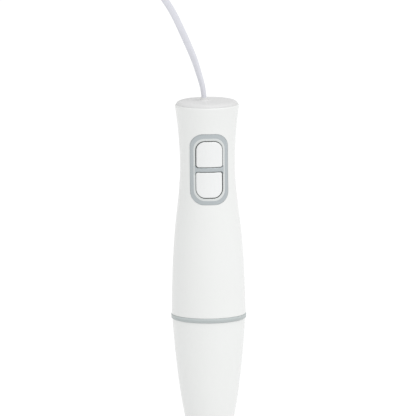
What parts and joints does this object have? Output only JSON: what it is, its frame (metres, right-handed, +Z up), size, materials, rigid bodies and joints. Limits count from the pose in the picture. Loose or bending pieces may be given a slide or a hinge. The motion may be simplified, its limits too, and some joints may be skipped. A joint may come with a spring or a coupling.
{
  "type": "immersion blender",
  "caption": "Corded hand blender: waisted white two-shell motor unit with two stacked push buttons, push-on tapering foot, bell blade guard and two-wing blade.",
  "frame": {"origin": "centre of the blade guard's rim, on the surface that the blender stands on", "axes": "+Z up along the handle, -Y towards the buttons, +X to the right seen from the buttons"},
  "size_m": [0.2628, 0.064, 0.5011],
  "materials": {
    "white_shell": "satin white ABS",
    "button_white": "satin white ABS",
    "cap_grey": "light grey, fine texture",
    "trim_grey": "satin mid grey",
    "cord_pvc": "pale blue-grey PVC",
    "inner_plastic": "moulded nylon",
    "black_plastic": "moulded nylon",
    "rubber": "nitrile rubber",
    "steel": "stainless, ground",
    "plated_brass": "nickel plated",
    "lamination": "stacked sheet steel",
    "copper": "enamelled copper",
    "bronze": "sintered, oiled",
    "brass": "bright",
    "carbon": "graphite",
    "board": "solder-masked board"
  },
  "bodies": {
    "foot": {"foot_housing": "white_shell", "shaft_carrier": "inner_plastic", "upper_foot_bushing": "bronze", "lower_foot_bushing": "bronze", "shaft_seal": "rubber", "cord_hank": "cord_pvc", "cord_tie": "cord_pvc", "plug_body": "cord_pvc", "plug_pin_left": "plated_brass", "plug_pin_right": "plated_brass"},
    "blade_unit": {"blade_shaft": "steel", "driven_coupling": "black_plastic", "shaft_clip": "steel", "blade": "steel", "blade_nut": "steel"},
    "motor_unit": {"front_shell": "white_shell", "rear_shell": "white_shell", "top_cap": "cap_grey", "cord_guard": "cap_grey", "cord_clamp": "inner_plastic", "button_bezel": "trim_grey", "trim_ring": "trim_grey", "coupling_cover": "inner_plastic", "grip_ring": "rubber", "base_screw_front": "steel", "base_screw_left": "steel", "base_screw_right": "steel", "stator_core": "lamination", "field_coil_left": "copper", "field_coil_right": "copper", "motor_damper": "rubber", "lower_motor_bracket": "inner_plastic", "upper_motor_bracket": "inner_plastic", "motor_screw_front": "steel", "motor_screw_rear": "steel", "lower_motor_bushing": "bronze", "upper_motor_bushing": "bronze", "brush_holder_left": "brass", "brush_holder_right": "brass", "carbon_brush_left": "carbon", "carbon_brush_right": "carbon", "switch_board": "board", "low_speed_switch": "black_plastic", "turbo_switch": "black_plastic", "suppression_capacitor": "inner_plastic", "speed_diode": "black_plastic", "power_cord": "cord_pvc"},
    "rotor": {"armature_shaft": "steel", "armature_core": "lamination", "lower_armature_winding": "copper", "upper_armature_winding": "copper", "commutator": "copper", "cooling_fan": "black_plastic", "drive_coupling": "black_plastic"},
    "upper_button_set": {"upper_button": "button_white", "upper_plunger": "black_plastic", "upper_button_spring": "steel"},
    "lower_button_set": {"lower_button": "button_white", "lower_plunger": "black_plastic", "lower_button_spring": "steel"}
  },
  "joints": [
    {"name": "foot_release", "type": "slide", "parent": "foot", "child": "motor_unit", "axis": [0, 0, 1], "range_m": [0, 0.04], "deforming": ["grip_ring"]},
    {"name": "rotor_spin", "type": "hinge", "parent": "motor_unit", "child": "rotor", "pos_m": [0, 0, 0.228], "axis": [0, 0, 1], "continuous": true},
    {"name": "blade_spin", "type": "hinge", "parent": "foot", "child": "blade_unit", "pos_m": [0, 0, 0.015], "axis": [0, 0, 1], "continuous": true},
    {"name": "upper_button_press", "type": "slide", "parent": "motor_unit", "child": "upper_button_set", "axis": [0, 1, 0], "range_m": [0, 0.0016], "stiffness_N_per_m": 1200, "springref_m": -0.0006, "deforming": ["upper_button_spring"]},
    {"name": "lower_button_press", "type": "slide", "parent": "motor_unit", "child": "lower_button_set", "axis": [0, 1, 0], "range_m": [0, 0.0016], "stiffness_N_per_m": 1200, "springref_m": -0.0006, "deforming": ["lower_button_spring"]}
  ],
  "couplings": [
    {"joint": "blade_spin", "follows": "rotor_spin", "ratio": 1}
  ]
}
